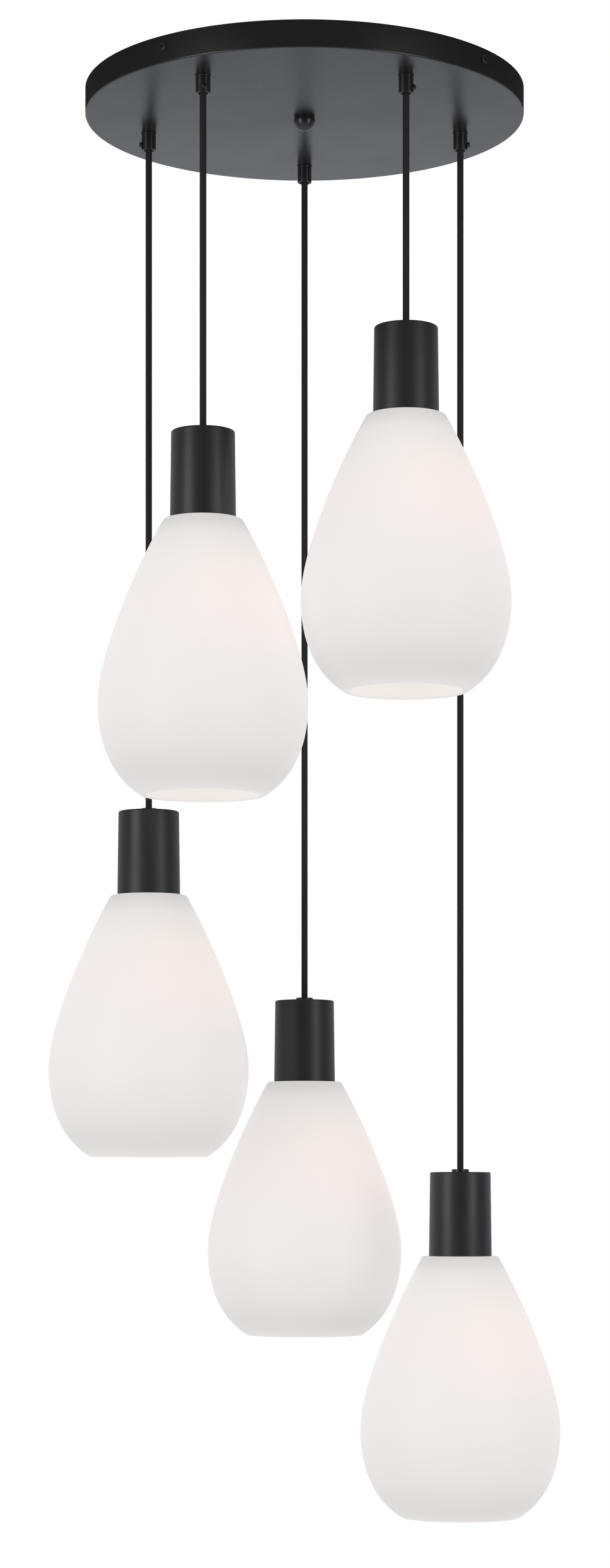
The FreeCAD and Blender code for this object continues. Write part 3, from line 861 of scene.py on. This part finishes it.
def teardrop(inset):
    """The glass's two curves from its shoulder to its lip, set in from the outside."""
    shoulder_inset = inset * (1 / math.cos(flank_angle) - math.tan(flank_angle))
    shoulder = Vector((shoulder_radius - shoulder_inset, -inset))
    belly = Vector((belly_radius - inset, -belly_drop))
    lip = Vector((mouth_radius - inset / math.cos(mouth_angle), -shade_height))
    down_flank = Vector((math.sin(flank_angle), -math.cos(flank_angle)))
    up_from_lip = Vector((math.sin(mouth_angle), math.cos(mouth_angle)))
    upper = bezier(shoulder, shoulder + down_flank * flank_reach,
                   belly + Vector((0, belly_reach_up)), belly, curve_steps)
    lower = bezier(belly, belly - Vector((0, belly_reach_down)),
                   lip + up_from_lip * mouth_reach, lip, curve_steps)
    return upper + lower + [lip]


def opal_glass(name, outline):
    """Satin opal glass lit by painted glow: milky and even, warm by the bulb, its ends cooler and
    dimmer as painted shade.
    """
    finish, tree, shader = new_finish(name, Base_Color=milk_white, Roughness=0.55, IOR=1.5,
                                      Specular_IOR_Level=0.3, Emission_Strength=1.0)
    around = wire(tree, "ShaderNodeSeparateXYZ", i0=tree.nodes.new("ShaderNodeUVMap").outputs[0])
    along = wire(tree, "ShaderNodeMath", "MULTIPLY_ADD",
                 i0=noise(tree, Scale=9.0, Detail=2.0), i1=milk_drift, i2=around.outputs["Y"])
    reached = shares(outline)

    def share_at(height):
        return next(share for share, point in zip(reached, outline)
                    if point[1] <= shade_height * (height - 1))

    painted_glow_ramp = wire(tree, "ShaderNodeValToRGB", Fac=along.outputs[0])
    painted_glow_ramp.color_ramp.interpolation = "B_SPLINE"
    stops = [(share_at(height) if height < 1 else 0.0, colour) for height, colour in painted_glow_by_height]
    stops += [(share_at(0) + lip_fade, painted_glow_inside), (1.0, painted_glow_inside)]
    for stop, (share, colour) in zip(painted_glow_ramp.color_ramp.elements, (stops[0], stops[-1])):
        stop.position, stop.color = share, (*colour, 1)
    for share, colour in stops[1:-1]:
        painted_glow_ramp.color_ramp.elements.new(share).color = (*colour, 1)
    # A painted warm spot on one side of the glass's upper part.
    turn = wire(tree, "ShaderNodeMath", "MULTIPLY_ADD",
                i0=around.outputs["X"], i1=math.tau, i2=-warm_side * math.tau)
    side = wire(tree, "ShaderNodeMath", "COSINE", i0=turn.outputs[0])
    side = wire(tree, "ShaderNodeMapRange", i0=side.outputs[0], i1=warm_edge, i2=1.0)
    side.interpolation_type = "SMOOTHSTEP"
    off = wire(tree, "ShaderNodeMath", "SUBTRACT",
               i0=around.outputs["Y"], i1=share_at(warm_height))
    off = wire(tree, "ShaderNodeMath", "ABSOLUTE", i0=off.outputs[0])
    level = wire(tree, "ShaderNodeMapRange", i0=off.outputs[0], i1=warm_reach, i2=0.0)
    level.interpolation_type = "SMOOTHSTEP"
    spot = wire(tree, "ShaderNodeMath", "MULTIPLY", i0=side.outputs[0], i1=level.outputs[0])
    painted_glow_colour = colour_mix(tree, spot.outputs[0], painted_glow_ramp.outputs[0], painted_warm_spot, "ADD")
    tree.links.new(painted_glow_colour, shader.inputs["Emission Color"])
    return finish


outer, inner = teardrop(0), teardrop(glass_wall)
top_edge = rounded((fitter_radius, 0, fitter_edge),
                   (shoulder_radius, 0, shoulder_edge),
                   (*outer[shoulder_aim], 0),
                   (fitter_radius, -glass_wall, 0))[:-2]
glass_outline = (top_edge + [p for p in outer if p.y < top_edge[-1].y - shoulder_join]
                 + inner[::-1] + [Vector((fitter_radius, -glass_wall))])
glass = turned("shade", glass_outline, segments=160)
opal = opal_glass("opal_glass", glass_outline)
for n in pendants:
    x, y, cup_top = cord_port(n)
    glass_top = Vector((x, y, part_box("shade_%d" % n)[1].z))
    shown("opal_shade_%d" % n, glass, glass_top, opal, "pendant_%d" % n, "opal_glass",
          "shade_%d" % n)

# ---- Bulbs ---------------------------------------------------------------------------------
# A frosted glass lamp screws up into each holder by its metal cap. It is lit. The glass is made
# here, and the cap is the part's own solid.
bulb_radius = 0.03
bulb_length = 0.084
bulb_neck_radius = 0.0134
bulb_neck_length = 0.006
bulb_neck_reach = 0.024
bulb_globe_reach = 0.018
globe_steps = 16
frost_colour = (0.85, 0.84, 0.82, 1)
bulb_glow = (1.0, 0.87, 0.74, 1)
cap_colour = (0.72, 0.71, 0.69, 1)

equator = Vector((bulb_radius, bulb_radius - bulb_length))
neck = Vector((bulb_neck_radius, -bulb_neck_length))
envelope = turned("bulb", [Vector((0, 0)), Vector((bulb_neck_radius, 0))]
                  + bezier(neck, neck - Vector((0, bulb_neck_reach)),
                           equator + Vector((0, bulb_globe_reach)), equator, globe_steps)
                  + quarter_round(bulb_radius, equator.y, globe_steps)
                  + [Vector((0, -bulb_length))], segments=96)
frosted, tree, shader = new_finish("frosted_glass", Base_Color=frost_colour, Roughness=0.4,
                                   IOR=1.5, Emission_Color=bulb_glow, Emission_Strength=0.9)
frost = noise(tree, Scale=1200.0, Detail=2.0)
emboss(tree, shader, frost, strength=0.1, depth=0.0001)
for n in pendants:
    x, y, cup_top = cord_port(n)
    bulb_top = Vector((x, y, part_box("bulb_%d" % n)[1].z))
    shown("frosted_bulb_%d" % n, envelope, bulb_top, frosted, "pendant_%d" % n, "bulb_glass",
          "bulb_%d" % n)

cap_metal, tree, shader = new_finish("cap_metal", Base_Color=cap_colour, Metallic=1.0)
scuffs = noise(tree, Scale=300.0, Detail=4.0)
vary_gloss(tree, shader, scuffs, lowest=0.22, highest=0.42)
coat(cap_metal, *["bulb_base_%d" % n for n in pendants])
